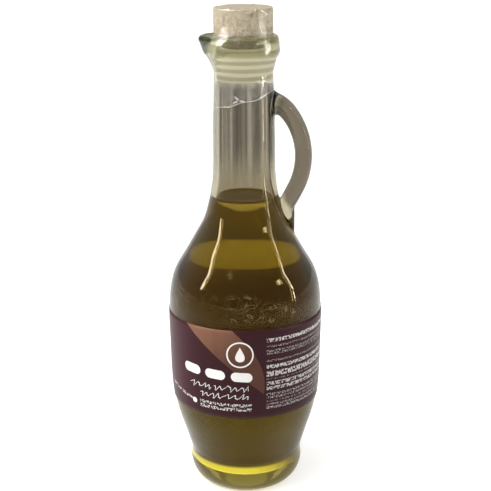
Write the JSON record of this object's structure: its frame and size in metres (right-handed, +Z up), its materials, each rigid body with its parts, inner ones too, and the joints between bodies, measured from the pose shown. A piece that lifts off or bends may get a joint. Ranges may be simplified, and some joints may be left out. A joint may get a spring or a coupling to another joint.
{
  "type": "olive oil bottle",
  "caption": "Tall clear glass bottle with a loop handle and pouring lip, a cork-headed stopper under shrink film, a wrap label and olive oil up to the foot of the neck.",
  "frame": {"origin": "centre of the ring the bottle stands on, on the bottle's axis", "axes": "+Z up along the bottle's axis, +X towards the handle, -X towards the pouring lip, millimetres in the source and metres in the row"},
  "size_m": [0.0828, 0.0828, 0.2609],
  "materials": {
    "glass": "clear soda-lime glass, green at its thick edges",
    "oil": "clear yellow-green liquid, brown where it is deep",
    "cork": "agglomerated cork, fine grained and dull",
    "plug": "translucent yellowish polythene",
    "label": "dark plum film label with copper and white fields, satin",
    "film": "clear shrink film, wrinkled and glossy"
  },
  "bodies": {
    "root": {"bottle_glass": "glass", "oil": "oil", "stopper_head": "cork", "stopper_plug": "plug", "label": "label", "shrink_film": "film"}
  },
  "joints": []
}
